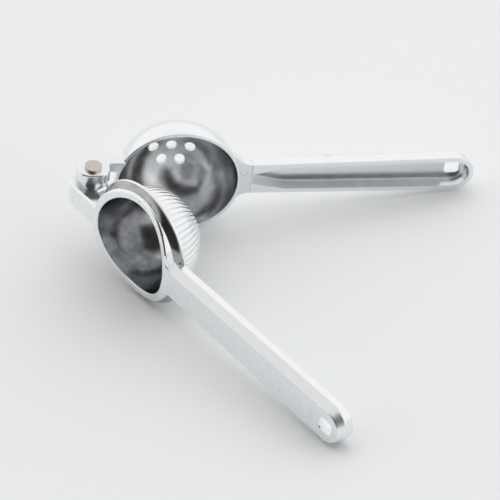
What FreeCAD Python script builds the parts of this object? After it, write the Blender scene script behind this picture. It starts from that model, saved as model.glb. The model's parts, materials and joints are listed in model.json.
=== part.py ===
import FreeCAD, Part
import math
import os

# Hinged lemon squeezer of cast aluminium, in millimetres.
#
# Two one-piece castings turn on one steel pin. The strainer arm has a holed cup, and the press arm has a
# fluted dome that pushes half a lemon into it. Each arm is drawn with the hinge axis on Z, its length on +X
# and its middle plane at Z = 0. The strainer's cup bulges towards +Y and the press dome does too, so the two
# arms are drawn shut, and the press arm is then swung open. Last, the tool is laid on its side on a table.

Vector = FreeCAD.Vector
Y_AXIS = Vector(0, 1, 0)
Z_AXIS = Vector(0, 0, 1)
FLAT = 0.001
PICK = 0.1
FINE = 0.05
SEW = 0.0001

# Whole tool
arm_length = 216.4
cup_reach = 48.0
open_angle = 57.1

# Strainer cup
strainer_outer_radius = 35.0
strainer_wall = 1.95
strainer_rim_y = 5.25
drain_hole_diameter = 6.0
drain_hole_pitch = 10.3

# Press cup: a fluted dome behind a flange, and a collar with an arched rim in front
dome_radius = 29.9
dome_wall = 2.5
flange_radius = 35.5
flange_edge = 1.6
flange_back_y = -1.4
rim_outer_radius = 32.2
rim_lowest_y = -6.9
rim_arch_radius = 78.0
collar_swell = 0.5
flute_count = 52
flute_depth = 0.6
flute_cutter_radius = 1.0
flute_end_latitude = 62.0
flute_run_out = 5.0
dome_base_latitude = -1.0

# Handles, the same section on both arms, with a wide flare at the strainer and a small one at the press
handle_root_x = 79.0
handle_root_half_width = 9.9
handle_tip_half_width = 11.6
handle_depth = 9.8
handle_draft = 1.9
handle_wall = 2.8
flare_half_width = 16.5
flare_end_x = 90.5
press_root_x = 76.0
press_flare_half_width = 12.6
press_flare_end_x = 84.0
channel_depth = 6.4
channel_draft = 0.7
channel_start_x = 90.0
channel_start_half_width = 3.2
channel_full_x = 109.0
strainer_handle_y = 7.85
strainer_handle_slope = 0.031
press_face_y = -11.8
back_edge_rounding = 2.8
press_edge_bevel = 0.7

# Hanging slots
slot_from_tip = 11.2
slot_length = 8.6
slot_width = 7.8
slot_corner_radius = 1.8

# Finger bumps on the strainer handle's back, and the round mark and step at its root
bump_count = 3
bump_first_x = 132.6
bump_pitch = 29.6
bump_length = 10.0
bump_height = 3.0
bump_side_margin = 4.5
pad_recess = 0.6
pad_land = 1.0
root_mark_x = 85.0
root_mark_z = 4.6
root_mark_diameter = 3.8
root_mark_depth = 0.3

# Hinge
ear_thickness = 6.0
lower_ear_thickness = 4.0
lower_ear_inset = 1.0
ear_left_x = -8.5
ear_front_y = -7.0
ear_right_x = 9.1
ear_back_y = 12.2
ear_front_radius = 5.5
ear_back_radius = 5.0
arm_front_y = 3.0
ear_edge_rounding = 1.0
ear_root_depth = 5.0
web_start_x = 13.4
web_overlap = 1.0
tongue_thickness = 14.6
tongue_left_x = -10.0
tongue_inner_y = 7.0
tongue_radius = 8.5
tongue_edge_bevel = 1.1
tongue_side_gap = 0.3
tongue_root_depth = 2.0
boss_radius = 6.0
boss_height = 2.8
pin_diameter = 9.2
pin_head_height = 1.4
pin_bevel = 0.3
pin_running_clearance = 0.08

# Worked out from the sizes above
strainer_inner_radius = strainer_outer_radius - strainer_wall
hollow_radius = dome_radius - dome_wall
strainer_centre = Vector(cup_reach, strainer_rim_y, 0)
dome_centre = Vector(cup_reach, flange_back_y, 0)
ear_end_x = cup_reach - strainer_inner_radius + ear_root_depth
slot_centre_x = arm_length - slot_from_tip
half_tongue = tongue_thickness / 2
upper_ear_z = half_tongue + boss_height + tongue_side_gap
ear_top_z = upper_ear_z + ear_thickness
lower_ear_z = -half_tongue - tongue_side_gap
ear_bottom_z = lower_ear_z - lower_ear_thickness
pin_radius = pin_diameter / 2
pin_top_z = ear_top_z + pin_head_height
pin_bottom_z = ear_bottom_z - pin_head_height


def curved_faces(shape):
    return [face for face in shape.Faces if not isinstance(face.Surface, Part.Plane)]


def line(start, end):
    return Part.LineSegment(start, end).toShape()


def arc(start, middle, end):
    return Part.Arc(start, middle, end).toShape()


def rounded_wire(corners, place):
    """Closed wire through corners (u, v, radius), with place(u, v) giving each point in space."""
    tangents = []
    count = len(corners)
    for index, (u, v, radius) in enumerate(corners):
        corner = Vector(u, v, 0)
        before = Vector(corners[index - 1][0], corners[index - 1][1], 0) - corner
        after = Vector(corners[(index + 1) % count][0], corners[(index + 1) % count][1], 0) - corner
        before.normalize()
        after.normalize()
        half_angle = before.getAngle(after) / 2
        cut_back = radius / math.tan(half_angle)
        inward = before + after
        inward.normalize()
        middle = corner + inward * (radius / math.sin(half_angle) - radius)
        tangents.append((corner + before * cut_back, middle, corner + after * cut_back, radius))
    edges = []
    for index, (start, middle, end, radius) in enumerate(tangents):
        if radius > 0:
            edges.append(arc(place(start.x, start.y), place(middle.x, middle.y), place(end.x, end.y)))
        following = tangents[(index + 1) % count][0]
        edges.append(line(place(end.x, end.y), place(following.x, following.y)))
    return Part.Wire(edges)


def upright_prism(corners, bottom_z, top_z):
    """Prism along Z from rounded corners (x, y, radius)."""
    outline = rounded_wire(corners, lambda x, y: Vector(x, y, bottom_z))
    return Part.Face(outline).extrude(Vector(0, 0, top_z - bottom_z))


def handle_sides(inset):
    """Straight side of a handle, moved in by inset, that runs into the round tip without a kink.

    Gives the place and half width where the tip begins, the half width at the flare's end, and the taper.
    """
    tip_centre_x = arm_length - handle_tip_half_width
    run = tip_centre_x - flare_end_x
    taper = math.atan2(handle_tip_half_width - handle_root_half_width, run)
    tip_radius = handle_tip_half_width - inset
    turn_x = tip_centre_x - tip_radius * math.sin(taper)
    turn_half = tip_radius * math.cos(taper)
    root_half = turn_half - (turn_x - flare_end_x) * math.tan(taper)
    return turn_x, turn_half, root_half, taper


def bar_wire(depth, draft, root_x, root_half_width, end_x):
    """Outside of a handle, seen on its open side, at one depth below that side.

    The handle starts at root_x with the root's half width, and its flare ends at end_x.
    """
    def at(x, z):
        return Vector(x, depth, z)
    flare_half = root_half_width - draft
    turn_x, turn_half, root_half, taper = handle_sides(draft)
    end_half = root_half + (end_x - flare_end_x) * math.tan(taper)

    # The flare is the arc that leaves the straight side without a kink and ends at the root's full width.
    back = root_x - end_x
    out = flare_half - end_half
    turn = math.atan2(out, -back) + taper
    reach = math.hypot(back, out) / (2 * math.cos(turn / 2))
    middle_x = end_x - reach * math.cos(turn / 2 - taper)
    middle_half = end_half + reach * math.sin(turn / 2 - taper)
    return Part.Wire([
        line(at(root_x, flare_half), at(root_x, -flare_half)),
        arc(at(root_x, -flare_half), at(middle_x, -middle_half), at(end_x, -end_half)),
        line(at(end_x, -end_half), at(turn_x, -turn_half)),
        arc(at(turn_x, -turn_half), at(arm_length - draft, 0), at(turn_x, turn_half)),
        line(at(turn_x, turn_half), at(end_x, end_half)),
        arc(at(end_x, end_half), at(middle_x, middle_half), at(root_x, flare_half)),
    ])


def channel_wire(depth, draft):
    """Inside of a handle's channel at one depth below its open side."""
    def at(x, z):
        return Vector(x, depth, z)
    inset = handle_wall + draft
    turn_x, turn_half, root_half, taper = handle_sides(inset)
    full_half = root_half + (channel_full_x - flare_end_x) * math.tan(taper)
    start_half = channel_start_half_width - draft
    start_x = channel_start_x + draft
    return Part.Wire([
        line(at(start_x, start_half), at(start_x, -start_half)),
        line(at(start_x, -start_half), at(channel_full_x, -full_half)),
        line(at(channel_full_x, -full_half), at(turn_x, -turn_half)),
        arc(at(turn_x, -turn_half), at(arm_length - inset, 0), at(turn_x, turn_half)),
        line(at(turn_x, turn_half), at(channel_full_x, full_half)),
        line(at(channel_full_x, full_half), at(start_x, start_half)),
    ])


def back_edges(solid):
    """Edges round a handle's back, without the one at its root."""
    found = []
    for edge in solid.Edges:
        box = edge.BoundBox
        flat = abs(box.YMin - handle_depth) < FLAT and abs(box.YMax - handle_depth) < FLAT
        if flat and box.XMax > handle_root_x + PICK:
            found.append(edge)
    return found


def make_bar(root_x, root_half_width, end_x):
    """Solid bar of a handle, with its front at Y = 0 and its narrower back at Y = handle_depth."""
    front = bar_wire(0, 0, root_x, root_half_width, end_x)
    back = bar_wire(handle_depth, handle_draft, root_x, root_half_width, end_x)
    return Part.makeLoft([front, back], True, True)


def hollow_handle(bar):
    """Handle made from its bar by a channel in the front and a hanging slot right through."""
    channel = Part.makeLoft([channel_wire(0, 0), channel_wire(channel_depth, channel_draft)], True, True)
    slot_corners = []
    for x_side, z_side in ((1, 1), (1, -1), (-1, -1), (-1, 1)):
        corner_x = slot_centre_x + x_side * slot_length / 2
        slot_corners.append((corner_x, z_side * slot_width / 2, slot_corner_radius))
    slot_wire = rounded_wire(slot_corners, lambda x, z: Vector(x, 0, z))
    slot = Part.Face(slot_wire).extrude(Vector(0, 2 * handle_depth, 0))
    return bar.cut([channel, slot])


def make_bump(centre_x):
    """Rounded finger bump across a handle's back."""
    radius = (bump_length ** 2 / 4 + bump_height ** 2) / (2 * bump_height)
    half_width = handle_root_half_width - handle_draft - bump_side_margin
    centre_y = handle_depth + bump_height - radius
    roller = Part.makeCylinder(radius, 2 * half_width, Vector(centre_x, centre_y, -half_width), Z_AXIS)
    for side in (-1, 1):
        roller = roller.fuse(Part.makeSphere(radius, Vector(centre_x, centre_y, side * half_width)))
    depth_kept = bump_height + (handle_depth - channel_depth) / 2
    keeper_y = handle_depth + bump_height - depth_kept
    keeper = Part.makeBox(4 * radius, depth_kept, 6 * half_width,
                          Vector(centre_x - 2 * radius, keeper_y, -3 * half_width))
    return roller.common(keeper)


def make_ear(bottom_z, top_z, outer_z, inset):
    """Ear of the hinge's fork, rounded round its outer face and drawn in by inset at its free end."""
    left_x = ear_left_x + inset
    front_y = ear_front_y + inset
    ear = upright_prism([
        (left_x, front_y, ear_front_radius),
        (ear_right_x, front_y, ear_front_radius),
        (ear_right_x, arm_front_y, 0),
        (ear_end_x, arm_front_y, 0),
        (ear_end_x, ear_back_y, 0),
        (left_x, ear_back_y, ear_back_radius),
    ], bottom_z, top_z)
    rounded = []
    for edge in ear.Edges:
        box = edge.BoundBox
        level = abs(box.ZMin - outer_z) < FLAT and abs(box.ZMax - outer_z) < FLAT
        if level and box.XMin < ear_end_x - PICK:
            rounded.append(edge)
    return ear.makeFillet(ear_edge_rounding, rounded)


def make_strainer_arm():
    cup = Part.makeSphere(strainer_outer_radius, strainer_centre)
    reach = 3 * strainer_outer_radius
    front = Part.makeBox(reach, reach, reach, strainer_centre - Vector(reach / 2, reach, reach / 2))
    cup = cup.cut(front)

    bar = make_bar(handle_root_x, flare_half_width, flare_end_x)
    handle = hollow_handle(bar.makeFillet(back_edge_rounding, back_edges(bar)))
    for index in range(bump_count):
        handle = handle.fuse(make_bump(bump_first_x + index * bump_pitch))
    pad = Part.makeBox(channel_start_x - pad_land - handle_root_x, pad_recess, 3 * flare_half_width,
                       Vector(handle_root_x, 0, -1.5 * flare_half_width))
    mark = Part.makeCylinder(root_mark_diameter / 2, root_mark_depth + pad_recess,
                             Vector(root_mark_x, 0, root_mark_z), Y_AXIS)
    handle = handle.cut([pad, mark])
    slope = math.degrees(math.atan(strainer_handle_slope))
    handle.translate(Vector(0, strainer_handle_y, 0))
    handle.rotate(Vector(handle_root_x, strainer_handle_y, 0), Z_AXIS, slope)

    upper_ear = make_ear(upper_ear_z, ear_top_z, ear_top_z, 0)
    lower_ear = make_ear(ear_bottom_z, lower_ear_z, ear_bottom_z, lower_ear_inset)
    web_bottom_z = lower_ear_z - web_overlap
    web_height = upper_ear_z + web_overlap - web_bottom_z
    web = Part.makeBox(ear_end_x - web_start_x, ear_back_y - arm_front_y, web_height,
                       Vector(web_start_x, arm_front_y, web_bottom_z))

    arm = cup.fuse([upper_ear, lower_ear, web, handle])
    inside = Part.makeSphere(strainer_inner_radius, strainer_centre)
    mouth = Part.makeCylinder(strainer_inner_radius, strainer_outer_radius, strainer_centre,
                              Vector(0, -1, 0))
    cutters = [inside, mouth]
    hole_places = [(0, 0)]
    for index in range(6):
        angle = math.radians(60 * index)
        hole_places.append((drain_hole_pitch * math.cos(angle), drain_hole_pitch * math.sin(angle)))
    for x, z in hole_places:
        start = strainer_centre + Vector(x, 0, z)
        cutters.append(Part.makeCylinder(drain_hole_diameter / 2, 2 * strainer_outer_radius, start, Y_AXIS))
    bore_start = Vector(0, 0, pin_bottom_z)
    cutters.append(Part.makeCylinder(pin_radius, pin_top_z - pin_bottom_z, bore_start, Z_AXIS))
    return arm.cut(cutters).removeSplitter()


def make_dome():
    """Fluted half ball, closed by a flat disc just in front of the flange's back."""
    # A flute is cut by a round ring that is deepest at the flange and leaves the ball at the end latitude.
    # The ring passes both points with its centre on the flange's level.
    end = math.radians(flute_end_latitude)
    reach_at_flange = dome_radius + flute_cutter_radius - flute_depth
    reach_at_end = dome_radius + flute_cutter_radius
    rise = reach_at_end * math.sin(end)
    side = reach_at_end * math.cos(end)
    offset = (rise ** 2 + side ** 2 - reach_at_flange ** 2) / (2 * (side - reach_at_flange))
    ring_radius = reach_at_flange - offset
    ring_sweep = math.degrees(math.atan2(rise, side - offset)) + 2 * flute_run_out
    pitch = 360.0 / flute_count

    # One slice of the ball with its flute in the middle
    origin = Vector(0, 0, 0)
    slice_solid = Part.makeSphere(dome_radius, origin, Y_AXIS, dome_base_latitude, 90, pitch)
    middle = slice_solid.CenterOfMass
    middle_angle = math.degrees(math.atan2(middle.z, middle.x))
    ring = Part.makeTorus(ring_radius, flute_cutter_radius, Vector(offset, 0, 0), Z_AXIS, 0, 360, ring_sweep)
    ring.rotate(Vector(offset, 0, 0), Z_AXIS, -flute_run_out)
    ring.rotate(origin, Y_AXIS, -middle_angle)
    skin = curved_faces(slice_solid.cut(ring))

    # The slice's outside is repeated round the cup's axis and closed by a flat disc.
    faces = []
    for index in range(flute_count):
        for face in skin:
            turned = face.copy()
            turned.rotate(origin, Y_AXIS, index * pitch)
            faces.append(turned)
    base_y = dome_radius * math.sin(math.radians(dome_base_latitude))
    base_edges = []
    for face in faces:
        for edge in face.Edges:
            box = edge.BoundBox
            if abs(box.YMin - base_y) < FLAT and abs(box.YMax - base_y) < FLAT:
                base_edges.append(edge)
    faces.append(Part.Face(Part.Wire(Part.__sortEdges__(base_edges))))
    shell = Part.makeShell(faces)
    shell.sewShape(SEW)
    dome = Part.makeSolid(shell)
    dome.translate(dome_centre)
    return dome


def make_press_arm():
    # Collar and flange, turned about the cup's axis
    axis_point = Vector(cup_reach, 0, 0)

    def at(radius, y):
        return Vector(cup_reach + radius, y, 0)
    side_y = flange_back_y - flange_edge
    swell = at((rim_outer_radius + flange_radius) / 2 + collar_swell, (rim_lowest_y + side_y) / 2)
    outline = Part.Wire([
        line(at(0, press_face_y), at(rim_outer_radius, press_face_y)),
        line(at(rim_outer_radius, press_face_y), at(rim_outer_radius, rim_lowest_y)),
        arc(at(rim_outer_radius, rim_lowest_y), swell, at(flange_radius, side_y)),
        line(at(flange_radius, side_y), at(flange_radius, flange_back_y)),
        line(at(flange_radius, flange_back_y), at(0, flange_back_y)),
        line(at(0, flange_back_y), at(0, press_face_y)),
    ])
    collar = Part.Face(outline).revolve(axis_point, Y_AXIS, 360)

    dome = make_dome()

    bar = make_bar(press_root_x, press_flare_half_width, press_flare_end_x)
    handle = hollow_handle(bar.makeChamfer(press_edge_bevel, back_edges(bar)))
    handle = handle.mirror(Vector(0, 0, 0), Y_AXIS)
    handle.translate(Vector(0, press_face_y + handle_depth, 0))

    tongue_end_x = cup_reach - hollow_radius + tongue_root_depth
    tongue_corners = [
        (tongue_left_x, press_face_y, tongue_radius),
        (tongue_end_x, press_face_y, 0),
        (tongue_end_x, -arm_front_y, 0),
        (ear_right_x, -arm_front_y, 0),
        (ear_right_x, tongue_inner_y, ear_front_radius),
        (tongue_left_x, tongue_inner_y, tongue_radius),
    ]
    tongue = upright_prism(tongue_corners, -half_tongue, half_tongue)
    bevelled = []
    for edge in tongue.Edges:
        box = edge.BoundBox
        level = abs(box.ZMin - box.ZMax) < FLAT
        if level and box.XMin < tongue_end_x - PICK:
            bevelled.append(edge)
    tongue = tongue.makeChamfer(tongue_edge_bevel, bevelled)
    boss = Part.makeCylinder(boss_radius, half_tongue + boss_height)

    # A wide cylinder along Z takes away everything in front of the arched rim.
    arm = collar.fuse([dome, tongue, boss, handle])
    arch_y = rim_lowest_y - rim_arch_radius
    arch = Part.makeCylinder(rim_arch_radius, 4 * flange_radius,
                             Vector(cup_reach, arch_y, -2 * flange_radius), Z_AXIS)
    hollow = Part.makeSphere(hollow_radius, dome_centre)
    mouth = Part.makeCylinder(hollow_radius, 2 * flange_radius, dome_centre, Vector(0, -1, 0))
    bore = Part.makeCylinder(pin_radius + pin_running_clearance, pin_top_z - pin_bottom_z,
                             Vector(0, 0, pin_bottom_z), Z_AXIS)
    arm = arm.cut([arch, hollow, mouth, bore])
    return arm.removeSplitter()


def make_pin():
    pin = Part.makeCylinder(pin_radius, pin_top_z - pin_bottom_z, Vector(0, 0, pin_bottom_z), Z_AXIS)
    return pin.makeChamfer(pin_bevel, [edge for edge in pin.Edges if edge.BoundBox.ZLength < FLAT])


def main():
    os.makedirs("parts", exist_ok=True)
    parts = {
        "strainer_arm": make_strainer_arm(),
        "press_arm": make_press_arm(),
        "hinge_pin": make_pin(),
    }
    parts["press_arm"].rotate(Vector(0, 0, 0), Z_AXIS, -open_angle)

    # The tool lies on both cups and both handle tips, so the plane of the arms leans down to the tips.
    middle = math.radians(-open_angle / 2)
    along = Vector(math.cos(middle), math.sin(middle), 0)
    tip_centre_x = arm_length - handle_tip_half_width
    run = (tip_centre_x - cup_reach) * math.cos(middle)
    lean = math.degrees(math.asin((strainer_outer_radius - handle_tip_half_width) / run))
    for shape in parts.values():
        shape.rotate(Vector(0, 0, 0), Z_AXIS.cross(along), lean)

    corners = []
    for shape in parts.values():
        corners.extend(shape.tessellate(FINE)[0])
    middle_x = (min(c.x for c in corners) + max(c.x for c in corners)) / 2
    middle_y = (min(c.y for c in corners) + max(c.y for c in corners)) / 2
    shift = Vector(-middle_x, -middle_y, -min(c.z for c in corners))
    for name, shape in parts.items():
        shape.translate(shift)
        shape.exportStep("parts/" + name + ".step")
        print(name, "solids", len(shape.Solids), "valid", shape.isValid(), "volume", round(shape.Volume, 1))
    print("lean", round(lean, 4), "along", along, "shift", shift)


main()
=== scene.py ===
import json
import math

import bpy
from mathutils import Matrix, Vector


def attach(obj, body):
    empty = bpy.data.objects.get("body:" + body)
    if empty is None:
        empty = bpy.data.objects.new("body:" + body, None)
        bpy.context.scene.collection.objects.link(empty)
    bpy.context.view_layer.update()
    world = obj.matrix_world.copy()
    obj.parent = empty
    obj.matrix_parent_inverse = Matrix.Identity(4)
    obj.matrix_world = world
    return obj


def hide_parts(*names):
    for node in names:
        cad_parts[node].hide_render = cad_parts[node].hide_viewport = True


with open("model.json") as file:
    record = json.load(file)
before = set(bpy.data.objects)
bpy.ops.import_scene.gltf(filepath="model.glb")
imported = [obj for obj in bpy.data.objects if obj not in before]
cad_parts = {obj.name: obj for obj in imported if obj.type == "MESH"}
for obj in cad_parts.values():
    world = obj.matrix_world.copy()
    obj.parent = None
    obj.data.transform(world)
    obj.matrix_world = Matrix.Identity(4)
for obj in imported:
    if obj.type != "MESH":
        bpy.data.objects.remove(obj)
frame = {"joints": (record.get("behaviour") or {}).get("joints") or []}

# Lemon squeezer, drawn shut in millimetres: hinge axis on Z, both arms along +X, both cups bulging to +Y.
# Each piece is then laid where the frame's hinge puts its arm.
arm_length = 216.4
cup_reach = 48.0
open_angle = 57.1

strainer_radius = 35.0
strainer_wall = 1.95
strainer_rim_y = 5.25
drain_hole_diameter = 6.0
drain_hole_pitch = 10.3

dome_radius = 29.9
hollow_radius = 27.4
flange_radius = 35.5
flange_back_y = -1.4
flange_front_y = -3.0
rim_radius = 32.2
rim_lowest_y = -6.9
rim_arch_radius = 78.0
collar_swell = 0.5
flute_count = 52
flute_depth = 0.6
flute_end_latitude = 62.0

handle_root_x = 79.0
handle_root_half_width = 9.9
handle_tip_half_width = 11.6
handle_depth = 9.8
handle_draft = 1.9
handle_wall = 2.8
flare_half_width = 16.5
flare_end_x = 90.5
press_root_x = 76.0
press_flare_half_width = 12.6
press_flare_end_x = 84.0
channel_depth = 6.4
channel_draft = 0.7
channel_start_x = 90.0
channel_start_half_width = 3.2
channel_full_x = 109.0
strainer_handle_y = 7.85
strainer_handle_slope = 0.031
press_face_y = -11.8

slot_centre_x = arm_length - 11.2
slot_length = 8.6
slot_width = 7.8
slot_corner_radius = 1.8

bump_count = 3
bump_first_x = 132.6
bump_pitch = 29.6
bump_length = 10.0
bump_height = 3.0
bump_half_width = 3.5
pad_recess = 0.6
pad_end_x = 89.0
root_mark = (85.0, 4.6)
root_mark_diameter = 3.8
root_mark_depth = 0.3

ear_thickness = 6.0
ear_left_x = -8.5
ear_front_y = -7.0
ear_right_x = 9.1
ear_back_y = 12.2
arm_front_y = 3.0
ear_left_radius = 5.5
ear_back_radius = 5.0
ear_root_radius = 0.4
ear_rounding = 1.0
lower_ear_thickness = 4.0
lower_ear_inset = 1.0
web_start_x = 13.4
hidden_end_x = 20.0
half_tongue = 7.3
tongue_left_x = -10.0
tongue_inner_y = 7.0
tongue_radius = 8.5
tongue_bevel = 1.1
side_gap = 0.3
boss_radius = 6.0
boss_height = 2.8
pin_radius = 4.6
pin_head_height = 1.4
bore_clearance = 0.1

# Small roundings, and how far outside the metal a cutter starts
cutter_start = 1.0
lip_rounding = 0.35
channel_fillet = 0.9
pin_edge_rounding = 0.3
collar_outer_rounding = 2.0
collar_inner_rounding = 0.5
strainer_back_rounding = 2.8
smooth_angle = math.radians(34)

upper_ear_z = half_tongue + boss_height + side_gap
ear_top_z = upper_ear_z + ear_thickness
lower_ear_z = -half_tongue - side_gap
ear_bottom_z = lower_ear_z - lower_ear_thickness
strainer_centre = Vector((cup_reach, strainer_rim_y, 0))
strainer_middle_radius = strainer_radius - strainer_wall / 2

hinge = frame["joints"][0]
lean = Vector((0, 0, 1)).rotation_difference(Vector(hinge["axis"])).to_matrix().to_4x4()
strainer_place = Matrix.Translation(hinge["pos_m"]) @ lean @ Matrix.Scale(0.001, 4)
press_place = strainer_place @ Matrix.Rotation(math.radians(-open_angle), 4, "Z")
strainer_handle_place = (
    Matrix.Translation((handle_root_x, strainer_handle_y, 0))
    @ Matrix.Rotation(math.atan(strainer_handle_slope), 4, "Z")
    @ Matrix.Translation((-handle_root_x, 0, 0))
)
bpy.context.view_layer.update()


def clear_selection():
    if bpy.context.mode != "OBJECT":
        bpy.ops.object.mode_set(mode="OBJECT")
    bpy.ops.object.select_all(action="DESELECT")


def stacked(name, rings):
    """Closed solid through rings of points: one filled outline, extruded from each ring to the next."""
    clear_selection()
    bpy.ops.mesh.primitive_circle_add(vertices=len(rings[0]), fill_type="NGON")
    piece = bpy.context.active_object
    piece.name = name
    for vertex, place in zip(piece.data.polygons[0].vertices, rings[0]):
        piece.data.vertices[vertex].co = place
    for ring in rings[1:]:
        bpy.ops.object.mode_set(mode="EDIT")
        bpy.ops.mesh.extrude_region_move()
        bpy.ops.object.mode_set(mode="OBJECT")
        face = next(face for face in piece.data.polygons if face.select)
        for vertex, place in zip(face.vertices, ring):
            piece.data.vertices[vertex].co = place
    turn_faces_out(piece)
    return piece


def turn_faces_out(piece):
    """Makes a closed mesh's normals point outwards."""
    bpy.context.view_layer.objects.active = piece
    bpy.ops.object.mode_set(mode="EDIT")
    bpy.ops.mesh.select_all(action="SELECT")
    bpy.ops.mesh.normals_make_consistent(inside=False)
    bpy.ops.object.mode_set(mode="OBJECT")


def bevel_edges(piece, wanted, width, steps):
    """Bevels the edges whose two ends pass a test."""
    clear_selection()
    piece.select_set(True)
    bpy.context.view_layer.objects.active = piece
    bpy.ops.object.mode_set(mode="EDIT")
    bpy.ops.mesh.select_mode(type="EDGE")
    bpy.ops.mesh.select_all(action="DESELECT")
    bpy.ops.object.mode_set(mode="OBJECT")
    points = piece.data.vertices
    for edge in piece.data.edges:
        edge.select = all(wanted(points[end].co) for end in edge.vertices)
    bpy.ops.object.mode_set(mode="EDIT")
    bpy.ops.mesh.bevel(offset=width, segments=steps, affect="EDGES")
    bpy.ops.object.mode_set(mode="OBJECT")


def apply_modifier(piece, kind, **settings):
    clear_selection()
    piece.select_set(True)
    bpy.context.view_layer.objects.active = piece
    modifier = piece.modifiers.new(kind.lower(), kind)
    for key, value in settings.items():
        setattr(modifier, key, value)
    bpy.ops.object.modifier_apply(modifier=modifier.name)


def combine(piece, tool, operation):
    apply_modifier(piece, "BOOLEAN", operation=operation, object=tool, solver="EXACT")
    bpy.data.objects.remove(tool)


def finish_piece(piece, place, body, node, materials, choose=None):
    """Shades a piece, gives it its finishes, lays it in the frame and lets it stand for its solid."""
    clear_selection()
    piece.select_set(True)
    bpy.context.view_layer.objects.active = piece
    bpy.ops.object.shade_smooth_by_angle(angle=smooth_angle)
    piece.data.materials.clear()
    for material in materials:
        piece.data.materials.append(material)
    for face in piece.data.polygons:
        face.material_index = choose(face.center, face.normal) if choose else 0
    apply_modifier(piece, "WEIGHTED_NORMAL", keep_sharp=True, weight=60)
    lay(piece, place)
    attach(piece, body)
    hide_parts(node)


def rounded(corners, steps=8):
    """Points round a plane outline of corners (u, v, radius)."""
    points = []
    for index, (u, v, radius) in enumerate(corners):
        corner = Vector((u, v))
        before = (Vector(corners[index - 1][:2]) - corner).normalized()
        after = (Vector(corners[(index + 1) % len(corners)][:2]) - corner).normalized()
        if radius == 0:
            points.append(corner)
            continue
        half = before.angle(after) / 2
        centre = corner + (before + after).normalized() * radius / math.sin(half)
        start = corner + before * radius / math.tan(half) - centre
        end = corner + after * radius / math.tan(half) - centre
        turn = start.angle_signed(end)
        for step in range(steps + 1):
            points.append(centre + Matrix.Rotation(-turn * step / steps, 2) @ start)
    return points


def quarter_turn(steps):
    """Angles from nothing to a right angle."""
    return [math.pi / 2 * step / steps for step in range(steps + 1)]


def handle_sides(inset):
    """Where the round tip begins, the half widths there and at the flare's end, and the taper."""
    tip_centre_x = arm_length - handle_tip_half_width
    taper = math.atan2(handle_tip_half_width - handle_root_half_width, tip_centre_x - flare_end_x)
    tip_radius = handle_tip_half_width - inset
    turn_x = tip_centre_x - tip_radius * math.sin(taper)
    turn_half = tip_radius * math.cos(taper)
    root_half = turn_half - (turn_x - flare_end_x) * math.tan(taper)
    return tip_centre_x, tip_radius, root_half, taper


def tip_arc(centre_x, radius, taper, steps=20):
    start = math.pi / 2 + taper
    angles = [start - 2 * start * step / steps for step in range(steps + 1)]
    return [(centre_x + radius * math.cos(angle), radius * math.sin(angle)) for angle in angles]


def both_sides(half, tip):
    """Half an outline from the root to the tip, the tip, and the same half mirrored back."""
    return half + tip + [(x, -z) for x, z in reversed(half)]


def handle_ring(inset, depth, root_x, root_half_width, end_x, root=()):
    """Outside of a handle at one depth below its open side, drawn in by inset.

    Its flare runs from the root's half width at root_x to end_x.
    """
    tip_centre_x, tip_radius, root_half, taper = handle_sides(inset)
    end_half = root_half + (end_x - flare_end_x) * math.tan(taper)
    out = root_half_width - inset - end_half
    chord = math.hypot(end_x - root_x, out)
    turn = math.atan2(out, end_x - root_x) + taper
    radius = chord / (2 * math.sin(turn))
    flare = []
    for step in range(10):
        angle = 2 * turn * (1 - step / 10)
        away = radius * math.sin(angle)
        rise = radius * (1 - math.cos(angle))
        x = end_x - away * math.cos(taper) - rise * math.sin(taper)
        z = end_half - away * math.sin(taper) + rise * math.cos(taper)
        flare.append((x, z))
    flare.append((end_x, end_half))
    outline = both_sides(list(root) + flare, tip_arc(tip_centre_x, tip_radius, taper))
    return [Vector((x, depth, z)) for x, z in outline]


def channel_ring(widen, depth):
    """Inside of a handle's channel at one depth, widened by a little at its lip."""
    inset = handle_wall - widen
    tip_centre_x, tip_radius, root_half, taper = handle_sides(inset)
    full_half = root_half + (channel_full_x - flare_end_x) * math.tan(taper)
    half = [(channel_start_x - widen, channel_start_half_width + widen), (channel_full_x, full_half)]
    outline = both_sides(half, tip_arc(tip_centre_x, tip_radius, taper))
    return [Vector((x, depth, z)) for x, z in outline]


def channel_cutter():
    lip = lip_rounding
    wall_draw = channel_draft * 0.85
    rings = [
        channel_ring(lip, -cutter_start),
        channel_ring(lip, 0.0),
        channel_ring(lip * 0.3, lip * 0.35),
        channel_ring(0.0, lip),
    ]
    for angle in quarter_turn(4):
        draw_in = wall_draw + channel_fillet * (1 - math.cos(angle))
        rings.append(channel_ring(-draw_in, channel_depth - channel_fillet * (1 - math.sin(angle))))
    return stacked("channel", rings)


def slot_cutter():
    """Cutter through a handle, a little wider where it meets the channel's floor and the handle's back."""
    half_length = slot_length / 2
    half_width = slot_width / 2
    levels = [
        (-cutter_start, 0.0),
        (channel_depth - 0.5, 0.0),
        (channel_depth - 0.5, 0.25),
        (channel_depth, 0.25),
        (channel_depth + 0.3, 0.0),
        (handle_depth - 0.3, 0.0),
        (handle_depth + 0.1, 0.4),
        (handle_depth + 2 * cutter_start, 0.4),
    ]
    rings = []
    for depth, widen in levels:
        corners = []
        for x_side, z_side in ((1, 1), (1, -1), (-1, -1), (-1, 1)):
            x = slot_centre_x + x_side * (half_length + widen)
            z = z_side * (half_width + widen)
            corners.append((x, z, slot_corner_radius + widen))
        rings.append([Vector((p.x, depth, p.y)) for p in rounded(corners, 5)])
    return stacked("slot", rings)


def sphere_tool(radius, centre):
    clear_selection()
    bpy.ops.mesh.primitive_uv_sphere_add(segments=128, ring_count=64, radius=radius, location=centre)
    return bpy.context.active_object


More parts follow.
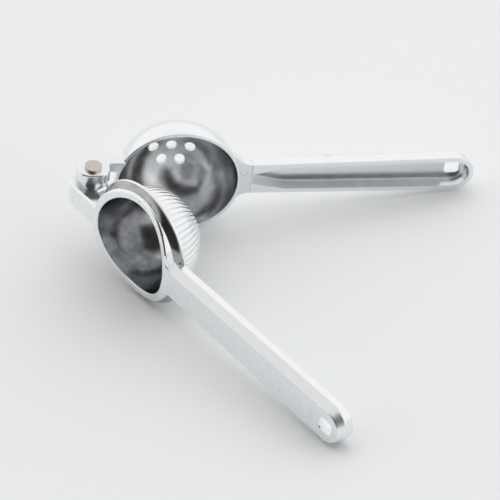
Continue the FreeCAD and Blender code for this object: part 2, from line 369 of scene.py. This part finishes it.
def rod_tool(radius, length, centre, upright_rod=True):
    clear_selection()
    turn = (0, 0, 0) if upright_rod else (math.pi / 2, 0, 0)
    bpy.ops.mesh.primitive_cylinder_add(vertices=64, radius=radius, depth=length, location=centre,
                                        rotation=turn)
    return bpy.context.active_object


def lay(piece, place):
    """Moves a piece's mesh, leaving its object at the origin."""
    clear_selection()
    piece.select_set(True)
    bpy.context.view_layer.objects.active = piece
    piece.matrix_world = place @ piece.matrix_world
    bpy.ops.object.transform_apply(location=True, rotation=True, scale=True)


def pad_cutter():
    """Sinks the flat at the strainer handle's root, with a short slope up to the channel's lip."""
    low_x = handle_root_x - 8.0
    half = flare_half_width + 2.0

    def ring(x, depth):
        return [Vector((low_x, depth, -half)), Vector((x, depth, -half)), Vector((x, depth, half)),
                Vector((low_x, depth, half))]
    slope_x = pad_end_x + 0.5
    return stacked("pad", [ring(slope_x, -cutter_start), ring(slope_x, 0.0), ring(pad_end_x, pad_recess)])


def mark_cutter():
    """Round mark at the handle's root, a shallow ring-edged dimple."""
    x, z = root_mark
    floor_radius = root_mark_diameter / 2
    lip_radius = floor_radius + 0.15
    turns = [2 * math.pi * step / 32 for step in range(32)]

    def ring(depth, radius):
        return [Vector((x + radius * math.cos(turn), depth, z + radius * math.sin(turn))) for turn in turns]
    return stacked("mark", [ring(-cutter_start, lip_radius), ring(pad_recess, lip_radius),
                            ring(pad_recess + root_mark_depth, floor_radius)])


def make_strainer_handle():
    root_x = handle_root_x - 4.0
    wall_draw = handle_draft * 0.75
    rounding = strainer_back_rounding

    def ring(inset, depth):
        return handle_ring(inset, depth, handle_root_x, flare_half_width, flare_end_x,
                           [(root_x, flare_half_width - inset)])
    rings = [ring(0.5, 0.0), ring(0.15, 0.15), ring(0.0, 0.5), ring(wall_draw, handle_depth - rounding)]
    for angle in quarter_turn(6)[1:]:
        inset = wall_draw + rounding * (1 - math.cos(angle))
        rings.append(ring(inset, handle_depth - rounding * (1 - math.sin(angle))))
    handle = stacked("strainer_handle", rings)
    for cutter in (channel_cutter(), slot_cutter(), pad_cutter(), mark_cutter()):
        combine(handle, cutter, "DIFFERENCE")
    lay(handle, strainer_handle_place)
    combine(handle, sphere_tool(strainer_middle_radius, strainer_centre), "DIFFERENCE")
    return handle


def make_bump(index):
    """Finger bump: a ball split in the middle and pulled apart across the handle, cut flat inside it."""
    radius = (bump_length ** 2 / 4 + bump_height ** 2) / (2 * bump_height)
    top = handle_depth + bump_height
    clear_selection()
    bpy.ops.mesh.primitive_uv_sphere_add(segments=48, ring_count=24, radius=radius)
    bump = bpy.context.active_object
    bump.name = f"finger_bump_{index + 1}"
    for vertex in bump.data.vertices:
        side = 0 if abs(vertex.co.z) < 0.001 else math.copysign(1, vertex.co.z)
        vertex.co += Vector((bump_first_x + index * bump_pitch, top - radius, side * bump_half_width))
    bpy.ops.object.mode_set(mode="EDIT")
    bpy.ops.mesh.select_all(action="SELECT")
    kept = bump_height + (handle_depth - channel_depth) / 2
    bpy.ops.mesh.bisect(plane_co=(0, top - kept, 0), plane_no=(0, 1, 0), use_fill=True, clear_inner=True)
    bpy.ops.object.mode_set(mode="OBJECT")
    turn_faces_out(bump)
    lay(bump, strainer_handle_place)
    return bump


def make_strainer_cup():
    """Half ball blown up from a finely cut cube, with a wall, a rounded rim and seven drain holes."""
    clear_selection()
    bpy.ops.mesh.primitive_cube_add(size=strainer_radius)
    cup = bpy.context.active_object
    cup.name = "strainer_cup"
    bpy.ops.object.mode_set(mode="EDIT")
    bpy.ops.mesh.select_all(action="SELECT")
    bpy.ops.mesh.subdivide(number_cuts=55)
    bpy.ops.object.mode_set(mode="OBJECT")
    for vertex in cup.data.vertices:
        outward = Vector([math.tan(part / strainer_radius * math.pi / 2) for part in vertex.co])
        vertex.co = strainer_centre + outward.normalized() * strainer_radius
    bpy.ops.object.mode_set(mode="EDIT")
    bpy.ops.mesh.select_all(action="SELECT")
    bpy.ops.mesh.bisect(plane_co=strainer_centre, plane_no=(0, 1, 0), clear_inner=True, threshold=0.01)
    bpy.ops.object.mode_set(mode="OBJECT")
    apply_modifier(cup, "SOLIDIFY", thickness=strainer_wall, offset=-1.0, use_rim=True)
    bevel_edges(cup, lambda point: point.y < strainer_rim_y + 0.02, lip_rounding, 3)
    places = [(0.0, 0.0)]
    for index in range(6):
        angle = math.radians(60 * index)
        places.append((drain_hole_pitch * math.cos(angle), drain_hole_pitch * math.sin(angle)))
    for x, z in places:
        hole_centre = strainer_centre + Vector((x, strainer_radius, z))
        combine(cup, rod_tool(drain_hole_diameter / 2, strainer_radius, hole_centre, False), "DIFFERENCE")
    return cup


def prism(name, outline, levels):
    """Solid along Z, whose plane outline is drawn in by an inset at each (inset, z) level."""
    return stacked(name, [[Vector((p.x, p.y, z)) for p in rounded(outline(inset))] for inset, z in levels])


def ear_outline(shift):
    def at(inset):
        left_x = ear_left_x + shift + inset
        right_x = ear_right_x - inset
        front_y = ear_front_y + shift + inset
        root_y = arm_front_y + inset
        back_y = ear_back_y - inset
        return [
            (left_x, front_y, ear_left_radius - inset),
            (right_x, front_y, ear_left_radius - inset),
            (right_x, root_y, ear_root_radius + inset),
            (hidden_end_x, root_y, 0),
            (hidden_end_x, back_y, 0),
            (left_x, back_y, ear_back_radius - inset),
        ]
    return at


def make_fork():
    """Two ears for the pin, and the web that joins them to the strainer cup."""
    edge = 0.25
    upper = [(edge, upper_ear_z), (0.0, upper_ear_z + edge)]
    lower = [(edge, lower_ear_z), (0.0, lower_ear_z - edge)]
    for angle in quarter_turn(4):
        inset = ear_rounding * (1 - math.cos(angle))
        drop = ear_rounding * (1 - math.sin(angle))
        upper.append((inset, ear_top_z - drop))
        lower.append((inset, ear_bottom_z + drop))
    fork = prism("hinge_fork", ear_outline(0.0), upper)
    combine(fork, prism("lower_ear", ear_outline(lower_ear_inset), lower), "UNION")

    def web_outline(inset):
        front_y = arm_front_y + 0.02 + inset
        back_y = ear_back_y - 0.02 - inset
        return [(web_start_x, front_y, 0.5), (hidden_end_x, front_y, 0), (hidden_end_x, back_y, 0),
                (web_start_x, back_y, 0.5)]
    web = prism("web", web_outline, [(0, lower_ear_z - 1.0), (0, upper_ear_z + 1.0)])
    combine(fork, web, "UNION")
    combine(fork, rod_tool(pin_radius + 0.02, 4 * ear_top_z, (0, 0, 0)), "DIFFERENCE")
    combine(fork, sphere_tool(strainer_middle_radius, strainer_centre), "DIFFERENCE")
    return fork


def rim_y(radius, turn):
    """Height of the press cup's arched rim, which never stands past the handle's face."""
    across = radius * math.cos(turn)
    arch = rim_lowest_y - rim_arch_radius + math.sqrt(rim_arch_radius ** 2 - across ** 2)
    return max(arch, press_face_y + 0.04)


def press_section(turn):
    """Half section of the press cup at one angle, from the dome's pole round the rim to the hollow's."""
    points = []
    place_in_flute = turn * flute_count / (2 * math.pi) % 1.0
    valley = abs(2 * place_in_flute - 1) ** 3.0
    flute_end = math.radians(flute_end_latitude)
    for step in range(31):
        latitude = math.radians(90 - 3 * step)
        fade = max(0.0, math.cos(latitude / flute_end * math.pi / 2)) if latitude < flute_end else 0.0
        radius = dome_radius - flute_depth * valley * fade ** 0.7
        points.append((radius * math.cos(latitude), flange_back_y + radius * math.sin(latitude)))
    points += [(flange_radius - 0.5, flange_back_y), (flange_radius - 0.12, flange_back_y - 0.12),
               (flange_radius, flange_back_y - 0.5), (flange_radius, flange_front_y + 0.4),
               (flange_radius - 0.1, flange_front_y + 0.1)]
    outer_rounding = collar_outer_rounding
    inner_rounding = collar_inner_rounding
    side_end_y = rim_y(rim_radius, turn) + outer_rounding
    collar_end_y = max(rim_lowest_y, side_end_y)
    start = flange_radius - 0.4
    for step in range(9):
        part = step / 8
        radius = start + (rim_radius - start) * part + 4 * collar_swell * part * (1 - part)
        points.append((radius, flange_front_y + (collar_end_y - flange_front_y) * part))
    for step in range(1, 4):
        points.append((rim_radius, collar_end_y + (side_end_y - collar_end_y) * step / 3))
    for step in range(1, 6):
        angle = math.radians(18 * step)
        radius = rim_radius - outer_rounding * (1 - math.cos(angle))
        points.append((radius, rim_y(radius, turn) + outer_rounding * (1 - math.sin(angle))))
    for radius in (30.2, 29.4, 28.6):
        points.append((radius, rim_y(radius, turn)))
    for step in range(4):
        angle = math.radians(30 * step)
        radius = hollow_radius + inner_rounding * (1 - math.sin(angle))
        points.append((radius, rim_y(radius, turn) + inner_rounding * (1 - math.cos(angle))))
    lip_y = points[-1][1]
    for step in range(1, 5):
        points.append((hollow_radius, lip_y + (flange_back_y - lip_y) * step / 4))
    for step in range(1, 25):
        latitude = math.radians(90 * step / 24)
        depth = flange_back_y + hollow_radius * math.sin(latitude)
        points.append((hollow_radius * math.cos(latitude), depth))
    return points


def make_press_cup():
    """Press cup: a ball whose rows and columns are laid along the half sections."""
    columns = flute_count * 12
    sections = [press_section(2 * math.pi * column / columns) for column in range(columns)]
    rows = len(sections[0]) - 1
    clear_selection()
    bpy.ops.mesh.primitive_uv_sphere_add(segments=columns, ring_count=rows, radius=1.0)
    cup = bpy.context.active_object
    cup.name = "press_cup"
    for vertex in cup.data.vertices:
        row = round(math.acos(max(-1.0, min(1.0, vertex.co.z))) / math.pi * rows)
        turn = math.atan2(vertex.co.y, vertex.co.x)
        column = round(turn / (2 * math.pi) * columns) % columns
        radius, y = sections[column][row]
        vertex.co = (cup_reach + radius * math.cos(turn), y, radius * math.sin(turn))
    turn_faces_out(cup)
    return cup


def make_press_handle():
    """Handle with two flat facets along each side, meeting in a rounded ridge half way down."""
    facets = [(0.0, 1.25), (0.2, 0.95), (0.6, 0.8), (4.1, 0.2), (4.8, 0.12), (5.5, 0.24), (9.4, 1.72),
              (9.65, 1.86), (handle_depth, 2.1)]
    rings = [handle_ring(inset, depth, press_root_x, press_flare_half_width, press_flare_end_x)
             for depth, inset in facets]
    handle = stacked("press_handle", rings)
    combine(handle, channel_cutter(), "DIFFERENCE")
    combine(handle, slot_cutter(), "DIFFERENCE")
    lay(handle, Matrix.Translation((0, press_face_y + handle_depth, 0)) @ Matrix.Rotation(math.pi, 4, "X"))
    return handle


def tongue_outline(inset):
    face_y = press_face_y + inset
    back_y = tongue_inner_y - inset
    left_x = tongue_left_x + inset
    right_x = ear_right_x - inset
    neck_y = -arm_front_y - inset
    return [
        (left_x, face_y, tongue_radius - inset),
        (hidden_end_x, face_y, 0),
        (hidden_end_x, neck_y, 0),
        (right_x, neck_y, ear_root_radius + inset),
        (right_x, back_y, ear_left_radius - inset),
        (left_x, back_y, tongue_radius - inset),
    ]


def make_tongue():
    """Lug between the fork's ears, bevelled round both faces, with a round boss under the upper ear."""
    bevel = [(tongue_bevel + 0.25, 0.0), (tongue_bevel + 0.05, 0.04), (tongue_bevel - 0.1, 0.12),
             (0.12, tongue_bevel - 0.1), (0.03, tongue_bevel + 0.08), (0.0, tongue_bevel + 0.3)]
    levels = [(inset, rise - half_tongue) for inset, rise in bevel]
    levels += [(inset, half_tongue - rise) for inset, rise in reversed(bevel)]
    tongue = prism("hinge_tongue", tongue_outline, levels)
    boss = rod_tool(boss_radius, half_tongue + boss_height, (0, 0, (half_tongue + boss_height) / 2))
    bevel_edges(boss, lambda point: point.z > half_tongue + boss_height - 0.01, pin_edge_rounding, 2)
    combine(tongue, boss, "UNION")
    combine(tongue, rod_tool(pin_radius + bore_clearance, 4 * ear_top_z, (0, 0, 0)), "DIFFERENCE")
    return tongue


def make_pin():
    top_z = ear_top_z + pin_head_height
    bottom_z = ear_bottom_z - pin_head_height
    pin = rod_tool(pin_radius, top_z - bottom_z, (0, 0, (top_z + bottom_z) / 2))
    pin.name = "pin"
    bevel_edges(pin, lambda point: not bottom_z + 0.01 < point.z < top_z - 0.01, pin_edge_rounding, 3)
    return pin


def principled(name, colour, metallic, roughness):
    material = bpy.data.materials.new(name)
    material.use_nodes = True
    shader = material.node_tree.nodes["Principled BSDF"]
    shader.inputs["Base Color"].default_value = (*colour, 1.0)
    shader.inputs["Metallic"].default_value = metallic
    shader.inputs["Roughness"].default_value = roughness
    return material, material.node_tree, shader


def noise(tree, vector, scale, detail=3.0):
    node = tree.nodes.new("ShaderNodeTexNoise")
    node.inputs["Scale"].default_value = scale
    node.inputs["Detail"].default_value = detail
    tree.links.new(vector, node.inputs["Vector"])
    return node.outputs["Fac"]


def spread(tree, value, low, high):
    """Stretches the middle of a noise to run from low to high."""
    node = tree.nodes.new("ShaderNodeMapRange")
    node.inputs["From Min"].default_value = 0.3
    node.inputs["From Max"].default_value = 0.7
    node.inputs["To Min"].default_value = low
    node.inputs["To Max"].default_value = high
    tree.links.new(value, node.inputs["Value"])
    return node.outputs["Result"]


def bump(tree, height, distance, under=None):
    node = tree.nodes.new("ShaderNodeBump")
    node.inputs["Distance"].default_value = distance
    tree.links.new(height, node.inputs["Height"])
    if under:
        tree.links.new(under, node.inputs["Normal"])
    return node.outputs["Normal"]


def metal(name, place, grey, roughness, stretch=(1, 1, 1), line_depth=0.0, wave=0.0002, dark=0.97):
    """Polished metal: uneven shine, a slow ripple from hand polishing, and fine lines along stretch.

    The pattern is turned with the arm at place, wave and line_depth are metres, and dark is how much of the
    grey is left in the darkest spots.
    """
    material, tree, shader = principled(name, grey, 1.0, roughness)
    coordinate = tree.nodes.new("ShaderNodeTexCoord")
    turn = tree.nodes.new("ShaderNodeMapping")
    turn.inputs["Rotation"].default_value = place.to_3x3().normalized().inverted().to_euler()
    tree.links.new(coordinate.outputs["Object"], turn.inputs["Vector"])
    along = tree.nodes.new("ShaderNodeMapping")
    along.inputs["Scale"].default_value = stretch
    tree.links.new(turn.outputs["Vector"], along.inputs["Vector"])
    ripple = noise(tree, turn.outputs["Vector"], 55.0, 1.5)
    mottle = noise(tree, turn.outputs["Vector"], 160.0, 3.0)
    lines = noise(tree, along.outputs["Vector"], 1500.0, 4.0)
    tree.links.new(spread(tree, mottle, roughness * 0.88, roughness * 1.12), shader.inputs["Roughness"])
    tone = tree.nodes.new("ShaderNodeMix")
    tone.data_type = "RGBA"
    tone.inputs["A"].default_value = (*[part * dark for part in grey], 1.0)
    tone.inputs["B"].default_value = (*grey, 1.0)
    tree.links.new(spread(tree, lines if line_depth else mottle, 0.0, 1.0), tone.inputs["Factor"])
    tree.links.new(tone.outputs["Result"], shader.inputs["Base Color"])
    normal = bump(tree, ripple, wave)
    if line_depth:
        normal = bump(tree, lines, line_depth, normal)
    tree.links.new(normal, shader.inputs["Normal"])
    return material


def table_white():
    return principled("table_white", (0.86, 0.875, 0.88), 0.0, 0.75)[0]


def lay_table():
    clear_selection()
    bpy.ops.mesh.primitive_plane_add(size=8.0, location=(0, 0, 0))
    table = bpy.context.active_object
    table.name = "table"
    table.data.materials.append(table_white())


def hang_light(name, place, aim, width, height, watts):
    """Soft lamp that only lights the table, because polished metal doesn't show it."""
    light = bpy.data.lights.new(name, "AREA")
    light.shape = "RECTANGLE"
    light.size = width
    light.size_y = height
    light.energy = watts
    lamp = bpy.data.objects.new(name, light)
    bpy.context.scene.collection.objects.link(lamp)
    lamp.visible_glossy = False
    lamp.location = place
    lamp.rotation_euler = (Vector(aim) - Vector(place)).to_track_quat("-Z", "Y").to_euler()


def graded(tree, value, from_low, from_high, to_low, to_high):
    """Eases a value from one level to another between two limits."""
    node = tree.nodes.new("ShaderNodeMapRange")
    node.interpolation_type = "SMOOTHSTEP"
    node.inputs["From Min"].default_value = from_low
    node.inputs["From Max"].default_value = from_high
    node.inputs["To Min"].default_value = to_low
    node.inputs["To Max"].default_value = to_high
    tree.links.new(value, node.inputs["Value"])
    return node.outputs["Result"]


def light_studio():
    """A white room with a dark opening to the left of the camera, and a little less light overhead."""
    world = bpy.data.worlds.new("studio")
    bpy.context.scene.world = world
    world.use_nodes = True
    tree = world.node_tree
    tree.nodes.clear()
    out = tree.nodes.new("ShaderNodeOutputWorld")
    background = tree.nodes.new("ShaderNodeBackground")
    coordinate = tree.nodes.new("ShaderNodeTexCoord")
    split = tree.nodes.new("ShaderNodeSeparateXYZ")
    tree.links.new(coordinate.outputs["Generated"], split.inputs[0])
    towards = tree.nodes.new("ShaderNodeVectorMath")
    towards.operation = "DOT_PRODUCT"
    tree.links.new(coordinate.outputs["Generated"], towards.inputs[0])
    towards.inputs[1].default_value = Vector((-0.3, -0.87, 0.38)).normalized()
    away = graded(tree, towards.outputs["Value"], 0.52, 0.82, 1.0, 0.05)
    up = graded(tree, split.outputs["Z"], 0.5, 1.0, 1.0, 0.8)
    both = tree.nodes.new("ShaderNodeMath")
    both.operation = "MULTIPLY"
    tree.links.new(away, both.inputs[0])
    tree.links.new(up, both.inputs[1])
    path = tree.nodes.new("ShaderNodeLightPath")
    pick = tree.nodes.new("ShaderNodeMix")
    pick.data_type = "FLOAT"
    tree.links.new(path.outputs["Is Camera Ray"], pick.inputs["Factor"])
    tree.links.new(both.outputs[0], pick.inputs[2])
    pick.inputs[3].default_value = 0.88
    tree.links.new(pick.outputs[0], background.inputs["Color"])
    tree.links.new(background.outputs[0], out.inputs[0])
    hang_light("key", (0.7, 0.6, 1.5), (0, 0, 0), 2.4, 2.4, 5.0)
    hang_light("overhead", (0, 0, 2.2), (0, 0, 0), 3.0, 3.0, 13.0)


def place_camera():
    camera = bpy.data.cameras.new("camera")
    camera.sensor_width = 36.0
    camera.lens = 177.45
    camera.clip_start = 0.05
    camera.clip_end = 20.0
    view = bpy.data.objects.new("camera", camera)
    bpy.context.scene.collection.objects.link(view)
    view.location = (-0.11295, -0.99969, 0.85059)
    view.rotation_euler = [math.radians(angle) for angle in (51.203, 3.067, -7.603)]
    bpy.context.scene.camera = view


def dress_strainer():
    satin = metal("satin_cast", strainer_place, (0.9, 0.91, 0.92), 0.22)
    # The bowl's darker grey is partly the duller cast inside's own colour, partly painted dark reflection.
    bowl = metal("bowl_dull_grey_and_painted_dark", strainer_place, (0.74, 0.75, 0.765), 0.2, wave=0.0004, dark=0.7)
    lengthwise = metal("ground_channel", strainer_place, (0.86, 0.87, 0.89), 0.24, (0.03, 1, 1), 0.00001)

    def in_bowl(place, normal):
        inside = (place - strainer_centre).length < strainer_middle_radius
        return 1 if inside and place.y > strainer_rim_y + 0.1 else 0

    def in_channel(place, normal):
        depth = place.y - strainer_handle_y - strainer_handle_slope * (place.x - handle_root_x)
        return 1 if 0.2 < depth < channel_depth + 0.3 and abs(place.z) < handle_tip_half_width - 2.0 else 0
    arm = (strainer_place, "strainer_arm", "strainer_arm")
    finish_piece(make_strainer_cup(), *arm, [satin, bowl], in_bowl)
    finish_piece(make_strainer_handle(), *arm, [satin, lengthwise], in_channel)
    for index in range(bump_count):
        finish_piece(make_bump(index), *arm, [satin])
    finish_piece(make_fork(), *arm, [satin])


def dress_press():
    satin = metal("satin_press", press_place, (0.9, 0.91, 0.92), 0.18)
    # The hollow's darker grey is partly the duller cast inside's own colour, partly painted dark
    # reflection.
    bowl = metal("hollow_dull_grey_and_painted_dark", press_place, (0.66, 0.67, 0.685), 0.2, wave=0.0005, dark=0.5)
    # The collar's dark grey is painted dark reflection: it stands in for the dark surroundings its polished
    # metal mirrors, not a colour of the metal.
    collar = metal("collar_painted_dark_reflection", press_place, (0.48, 0.49, 0.5), 0.16, wave=0.0003, dark=0.7)
    face = metal("brushed_face", press_place, (0.9, 0.91, 0.92), 0.28, (1, 1, 0.03), 0.000006, 0.0001)

    def cup_zone(place, normal):
        from_axis = math.hypot(place.x - cup_reach, place.z)
        in_dome = (place - Vector((cup_reach, flange_back_y, 0))).length < hollow_radius + 0.6
        in_mouth = from_axis < hollow_radius + 0.02 and place.y < flange_back_y
        if in_dome or in_mouth:
            return 1
        # The collar band takes the dark grey of painted reflection.
        on_collar = from_axis > rim_radius - 0.05 and rim_lowest_y < place.y < flange_front_y - 0.1
        return 2 if on_collar else 0

    def on_face(place, normal):
        return 1 if normal.y < -0.95 and place.y < press_face_y + 0.3 else 0
    arm = (press_place, "press_arm", "press_arm")
    finish_piece(make_press_cup(), *arm, [satin, bowl, collar], cup_zone)
    finish_piece(make_press_handle(), *arm, [satin, face], on_face)
    finish_piece(make_tongue(), *arm, [satin, face], on_face)


def dress_pin():
    steel = metal("pin_steel", strainer_place, (0.62, 0.58, 0.55), 0.32)
    finish_piece(make_pin(), strainer_place, "strainer_arm", "hinge_pin", [steel])


dress_strainer()
dress_press()
dress_pin()
lay_table()
light_studio()
place_camera()
bpy.context.scene.view_settings.view_transform = "Standard"
